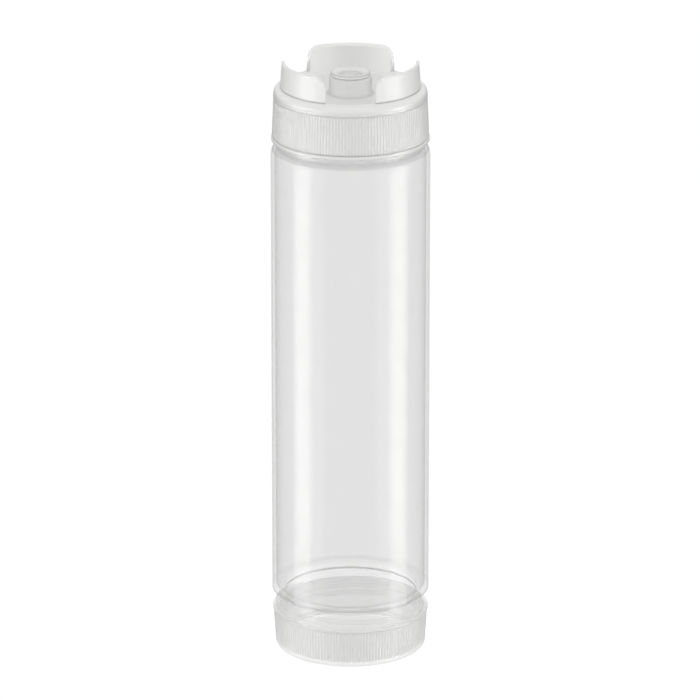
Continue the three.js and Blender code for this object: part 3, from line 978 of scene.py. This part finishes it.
def refill_cap_shell():
    """Ribbed skirt and flat floor of the cap that is the foot."""
    cap = settings("cap_sizes")
    plug, _, radius = cap_radii()
    rim = REFILL_HIGH.z
    ribs_low = cap.refill_edge
    ribs_high = rim - cap.refill_bead
    crest = radius + cap.refill_draft
    valley = crest - cap.rib_depth
    outer = crest + cap.refill_rim_proud
    low, high = (radius, ribs_low + cap.groove), (crest, ribs_high - 2 * cap.groove)
    outline = [(0.0, 0.0), (radius / 3, 0.0)]
    outline += rounded(radius, 0.0, cap.refill_edge, OUTER_FOOT, FOOT_STEPS)
    outline += [low] + rows_between(low, high)
    # Painted shade in the groove between the ribs and the rim's bead
    outline += dark([high, (valley, ribs_high - cap.groove), (valley, ribs_high)], REFILL_BAND_SHADE)
    outline += rounded(outer, ribs_high, cap.rim_radius, OUTER_FOOT)
    outline += rounded(outer, rim, cap.rim_radius, OUTER_TOP)
    outline += rounded(valley - cap.skirt_wall, rim, cap.rim_radius, INNER_TOP)
    outline += [(radius - cap.skirt_wall, cap.refill_seat), (plug, cap.refill_seat)]
    outline += rounded(plug, cap.refill_floor, FLOOR_EDGE, OUTER_FOOT, 3)[::-1]
    outline += [(radius / 3, cap.refill_floor), (0.0, cap.refill_floor)]
    obj = ribbed("refill_cap_shell", outline, cap.refill_ribs, ribs_low, ribs_high, radius - cap.rib_depth,
                 foot_plastic())
    place(obj, "refill_cap", "refill_cap")


def seal(name, low, high, body, node):
    """A flat ring between a cap and a lip."""
    plug, _, _ = cap_radii()
    inner = plug + settings("valve_sizes").fit
    outline = []
    for r, z, corner in ((high.x, low.z, OUTER_FOOT), (high.x, high.z, OUTER_TOP),
                         (inner, high.z, INNER_TOP), (inner, low.z, INNER_FOOT)):
        outline += rounded(r, z, FINE_EDGE, corner, 3)
    obj = revolved(name, outline, SEAL_COLUMNS, silicone())
    place(obj, body, node)


def box_mesh(width, depth, height):
    """Vertices and faces of a box round the origin."""
    ends = (-0.5, 0.5)
    verts = [(x * width, y * depth, z * height) for z in ends for y in ends for x in ends]
    faces = [(0, 2, 3, 1), (4, 5, 7, 6), (0, 1, 5, 4), (2, 6, 7, 3), (0, 4, 6, 2), (1, 3, 7, 5)]
    return verts, faces


def valve_head():
    """The slit valve: flange, sleeve and hollow head, cut by a cross slit."""
    cap, size = settings("cap_sizes", "valve_sizes")
    low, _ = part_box("dispensing_valve")
    flange = cap.collar_radius - cap.collar_wall - size.fit
    flange_top = low.z + size.flange
    foot = flange - size.ring_skirt - size.fit
    top = RING_BOTTOM - cap.collar_gap
    hollow = size.head_radius - size.sleeve
    sink = top - size.head_sink

    def bowl(floor, depth):
        """Points of a shallow bowl, from its middle out."""
        return [(hollow * i / HEAD_STEPS, floor + depth * (i / HEAD_STEPS) ** 2)
                for i in range(HEAD_STEPS + 1)]

    outline = bowl(sink - size.head_thickness, size.head_sink * UNDER_BOWL)
    outline += [(foot - size.sleeve, flange_top), (foot - size.sleeve, low.z)]
    outline += rounded(flange, low.z, VALVE_EDGE, OUTER_FOOT, 3)
    outline += rounded(flange, flange_top, VALVE_EDGE, OUTER_TOP, 3)
    outline += [(foot, flange_top), (size.head_radius, sink)]
    outline += rounded(size.head_radius, top, size.sleeve / 2, OUTER_TOP, 6)
    inside = bowl(sink, size.head_sink * HEAD_BOWL)[::-1]
    # Painted shade in the middle of the head's hollow
    outline += dark(inside[:2], HOLLOW_SHADE) + inside[2:]
    obj = revolved("valve_head", outline, VALVE_COLUMNS)
    cutters = []
    for turn in (0.0, QUARTER):
        cutter = mesh_object("slit", *box_mesh(size.slit_length, size.slit_width, 4 * size.head_sink))
        cutter.data.transform(Matrix.Translation((0.0, 0.0, sink)) @ Matrix.Rotation(turn, 4, "Z"))
        cut = obj.modifiers.new("Slit", "BOOLEAN")
        cut.operation = "DIFFERENCE"
        cut.solver = "EXACT"
        cut.object = cutter
        cutters.append(cutter)
    plain_mesh(obj)
    for cutter in cutters:
        bpy.data.objects.remove(cutter)
    # Painted shade along the cross slit
    for vertex, mark in zip(obj.data.vertices, obj.data.attributes[PAINTED_SHADE].data):
        across, along = sorted((abs(vertex.co.x), abs(vertex.co.y)))
        if across < size.slit_width and along < size.slit_length * SLIT_SHADE:
            mark.value = 1.0
    obj.data.materials.clear()
    obj.data.materials.append(silicone())
    place(obj, "dispensing_cap", "dispensing_valve")


def snap_ring():
    """The ring that holds the valve, with a funnel towards the head."""
    cap, size = settings("cap_sizes", "valve_sizes")
    skirt = cap.collar_radius - cap.collar_wall - size.fit
    bore = skirt - size.ring_skirt
    top = RING_HIGH.z
    lip = size.head_radius + size.fit
    lip_top = top - size.funnel_depth
    under = lip_top - size.ring_lip
    edge = rounded(size.ring_radius, top, size.ring_edge, OUTER_TOP, 8)
    outline = [(bore, RING_LOW.z), (skirt, RING_LOW.z)]
    # Painted shade under the ring, where it stands over the collar, on its rounded top edge and on its inner
    # lip; the funnel's top is marked clearer
    outline += dark([(skirt, RING_BOTTOM)] + rounded(size.ring_radius, RING_BOTTOM, FINE_EDGE, OUTER_FOOT, 3))
    outline += [(size.ring_radius, RING_BOTTOM + RING_SIDE)] + edge[:2] + dark(edge[2:5], RING_TURN_SHADE)
    outline += [edge[5]] + dark(edge[6:8], RING_TOP_SHADE) + edge[8:]
    outline += dark([(lip + size.funnel_width, top)], FUNNEL_SHADE)
    outline += [(lip + size.funnel_width * FUNNEL_TURN[0], top - size.funnel_depth * FUNNEL_TURN[1])]
    outline += dark(rounded(lip, lip_top, FINE_EDGE, INNER_TOP, 3), RING_LIP_SHADE)
    outline += [(lip, under), (bore, under - (bore - lip) / 2)]
    obj = revolved("snap_ring", outline, RING_COLUMNS, cap_plastic())
    place(obj, "dispensing_cap", "valve_retainer")


# Stage


def direction(azimuth, elevation):
    """The way from the bottle to a point round it and over the horizon, where -Y is the front."""
    level = math.cos(elevation)
    return Vector((math.sin(azimuth) * level, -math.cos(azimuth) * level, math.sin(elevation)))


def aimed(data, aim, back, away):
    """An object with that data, set away from its aim and turned to it."""
    obj = bpy.data.objects.new(data.name, data)
    bpy.context.scene.collection.objects.link(obj)
    obj.location = aim + back * away
    obj.rotation_euler = (-back).to_track_quat("-Z", "Y").to_euler()
    return obj


def camera():
    """The photograph's view: a long lens, a little above the bottle."""
    stage = settings("stage_settings")
    data = bpy.data.cameras.new("camera")
    data.lens = stage.focal
    data.clip_start = 0.1
    data.clip_end = 100.0
    aim = Vector((stage.aim_side, 0.0, stage.aim_height))
    bpy.context.scene.camera = aimed(data, aim, direction(0.0, stage.elevation), stage.distance)


def seen_rays(build):
    """1 for rays from the camera and for those in reflections and clear things, or else 0."""
    path = build.node("ShaderNodeLightPath").outputs
    seen = build.math("MAXIMUM", path["Is Camera Ray"], path["Is Glossy Ray"])
    return build.math("MAXIMUM", seen, path["Is Transmission Ray"])


def world():
    """A pale room whose background is white."""
    made = bpy.data.worlds.new("pale_room")
    made.use_nodes = True
    made.node_tree.nodes.clear()
    build = Builder(made.node_tree)
    level = build.math("MAXIMUM", seen_rays(build), settings("stage_settings").world_level)
    room = build.node("ShaderNodeBackground", Color=WHITE, Strength=level)
    build.node("ShaderNodeOutputWorld", Surface=room)
    bpy.context.scene.world = made


def sheet(name, verts, material_name):
    """A flat piece of the stage with an empty material, and the builder of its nodes."""
    obj = mesh_object(name, verts, [(0, 1, 2, 3)])
    material = bpy.data.materials.new(material_name)
    material.use_nodes = True
    material.node_tree.nodes.clear()
    obj.data.materials.append(material)
    return obj, Builder(material.node_tree)


def floor():
    """A pale floor that is white to the camera and keeps the bottle's shadow.

    It is partly see-through from above and wholly from below, so that the foot shows from there, and
    the refill cap shows when it is screwed down off the neck.
    """
    stage = settings("stage_settings")
    half = stage.floor_size
    corners = [(-half, -half, 0.0), (half, -half, 0.0), (half, half, 0.0), (-half, half, 0.0)]
    obj, build = sheet("floor", corners, "pale_floor")
    obj.location.z = -FLOOR_DROP
    obj.visible_glossy = False
    matt = build.node("ShaderNodeBsdfDiffuse", Color=darker((FLOOR_GREY,) * 3, 1.0))
    level = build.times(build.math("MAXIMUM", seen_rays(build), stage.floor_level), FLOOR_GLOW)
    both = build.node("ShaderNodeAddShader")
    build.feed(both.inputs[0], matt)
    build.feed(both.inputs[1], build.node("ShaderNodeEmission", Color=WHITE, Strength=level))
    path = build.node("ShaderNodeLightPath").outputs
    below = build.node("ShaderNodeNewGeometry").outputs["Backfacing"]
    open_share = build.times(build.math("MAXIMUM", below, stage.floor_clear), path["Is Camera Ray"])
    build.see_through(build.math("MAXIMUM", open_share, path["Is Shadow Ray"]), both)


def reflector(name, azimuth, spread, away, fade, level):
    """A tall card that only shows in reflections. Its sides fade over a share of its width."""
    width = 2 * away * math.tan(spread / 2)
    centre = direction(azimuth, 0.0) * away
    along = Vector((math.cos(azimuth), math.sin(azimuth), 0.0)) * width / 2
    rise = Vector((0.0, 0.0, 1.0))
    obj, build = sheet(name, [centre - along + rise * CARD_LOW, centre + along + rise * CARD_LOW,
                              centre + along + rise * CARD_HIGH, centre - along + rise * CARD_HIGH], name)
    layer = obj.data.uv_layers.new(name="across")
    for loop, place_across in zip(layer.data, (0.0, 1.0, 1.0, 0.0)):
        loop.uv = (place_across, 0.0)
    across = build.split(build.node("ShaderNodeUVMap", {"uv_map": "across"}))[0]
    near = build.math("SUBTRACT", 0.5, build.math("ABSOLUTE", build.math("SUBTRACT", across, 0.5)))
    glow = build.node("ShaderNodeEmission", Color=WHITE, Strength=level)
    build.see_through(build.ramp(near, 0.0, fade), glow, shown=True)
    obj.data.materials[0].cycles.emission_sampling = "NONE"
    obj.visible_camera = False
    obj.visible_diffuse = False
    obj.visible_transmission = False
    obj.visible_shadow = False


def lamp(name, azimuth, elevation, away, power):
    """A large soft lamp that faces the bottle and isn't seen in its gloss."""
    data = bpy.data.lights.new(name, "AREA")
    data.shape = "DISK"
    data.size = LAMP_SIZE
    data.energy = power
    aim = Vector((0.0, 0.0, settings("stage_settings").aim_height))
    towards = direction(math.radians(azimuth), math.radians(elevation))
    aimed(data, aim, towards, away).visible_glossy = False


def build_stage():
    """Camera, room, floor, cards for the stripes and the edges, and lamps above and at both sides."""
    stage = settings("stage_settings")
    camera()
    world()
    floor()
    for side, word in SIDES:
        for name, azimuth, spread, away, fade, level in CARDS:
            reflector(name + word, side * math.radians(azimuth), math.radians(spread), away, fade,
                      getattr(stage, level))
    lamp("top_lamp", *TOP_LAMP, stage.key_power)
    azimuth, elevation, away = SIDE_LAMP
    for side, word in SIDES:
        lamp("side_lamp_" + word, side * azimuth, elevation, away, stage.side_power)
    bpy.context.scene.view_settings.view_transform = "Standard"
    bpy.context.scene.cycles.transparent_max_bounces = CLEAR_LAYERS


# Operators


class BOTTLE_OT_stage(bpy.types.Operator):
    """Set up the camera, the floor and the light"""

    bl_idname = "bottle.stage"
    bl_label = "Stage"

    def execute(self, context):
        build_stage()
        return {"FINISHED"}


class BOTTLE_OT_body(bpy.types.Operator):
    """Build the clear tube with its two necks"""

    bl_idname = "bottle.body"
    bl_label = "Body"

    def execute(self, context):
        body_shell()
        return {"FINISHED"}


class BOTTLE_OT_threads(bpy.types.Operator):
    """Build the screw threads on the necks and in the caps"""

    bl_idname = "bottle.threads"
    bl_label = "Threads"

    def execute(self, context):
        threads()
        return {"FINISHED"}


class BOTTLE_OT_dispensing_cap(bpy.types.Operator):
    """Build the ribbed cap with its crown"""

    bl_idname = "bottle.dispensing_cap"
    bl_label = "Dispensing cap"

    def execute(self, context):
        dispensing_cap_shell()
        crown_legs()
        return {"FINISHED"}


class BOTTLE_OT_valve(bpy.types.Operator):
    """Build the slit valve and its snap ring"""

    bl_idname = "bottle.valve"
    bl_label = "Valve"

    def execute(self, context):
        valve_head()
        snap_ring()
        return {"FINISHED"}


class BOTTLE_OT_refill_cap(bpy.types.Operator):
    """Build the ribbed cap that is the foot"""

    bl_idname = "bottle.refill_cap"
    bl_label = "Refill cap"

    def execute(self, context):
        refill_cap_shell()
        return {"FINISHED"}


class BOTTLE_OT_seals(bpy.types.Operator):
    """Build the two flat seals"""

    bl_idname = "bottle.seals"
    bl_label = "Seals"

    def execute(self, context):
        seal("upper_seal", UPPER_SEAL_LOW, UPPER_SEAL_HIGH, "dispensing_seal", "dispensing_seal")
        seal("lower_seal", LOWER_SEAL_LOW, LOWER_SEAL_HIGH, "refill_seal", "refill_seal")
        return {"FINISHED"}


class BOTTLE_PT_panel(bpy.types.Panel):
    """Lists the bottle's pieces and sizes"""

    bl_label = "Squeeze Bottle"
    bl_idname = "BOTTLE_PT_panel"
    bl_space_type = "VIEW_3D"
    bl_region_type = "UI"
    bl_category = "Bottle"

    def draw(self, context):
        for operator in OPERATORS:
            self.layout.operator(operator.bl_idname)
        for label in SETTINGS:
            group = getattr(context.scene, label)
            box = self.layout.box()
            for key in group.bl_rna.properties.keys():
                if key not in ("rna_type", "name"):
                    box.prop(group, key)


OPERATORS = (BOTTLE_OT_stage, BOTTLE_OT_body, BOTTLE_OT_threads, BOTTLE_OT_dispensing_cap,
             BOTTLE_OT_valve, BOTTLE_OT_refill_cap, BOTTLE_OT_seals)
SETTINGS = {"bottle_sizes": BottleSizes, "thread_sizes": ThreadSizes, "cap_sizes": CapSizes,
            "valve_sizes": ValveSizes, "bottle_colours": BottleColours, "stage_settings": StageSettings}


def register():
    for group in (*SETTINGS.values(), *OPERATORS, BOTTLE_PT_panel):
        bpy.utils.register_class(group)
    for label, group in SETTINGS.items():
        setattr(bpy.types.Scene, label, PointerProperty(type=group))


def unregister():
    for label in SETTINGS:
        delattr(bpy.types.Scene, label)
    for group in reversed((*SETTINGS.values(), *OPERATORS, BOTTLE_PT_panel)):
        bpy.utils.unregister_class(group)


def main():
    """Builds everything in order."""
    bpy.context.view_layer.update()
    register()
    bpy.ops.bottle.stage()
    bpy.ops.bottle.body()
    bpy.ops.bottle.threads()
    bpy.ops.bottle.dispensing_cap()
    bpy.ops.bottle.valve()
    bpy.ops.bottle.refill_cap()
    bpy.ops.bottle.seals()


if __name__ == "__main__":
    main()
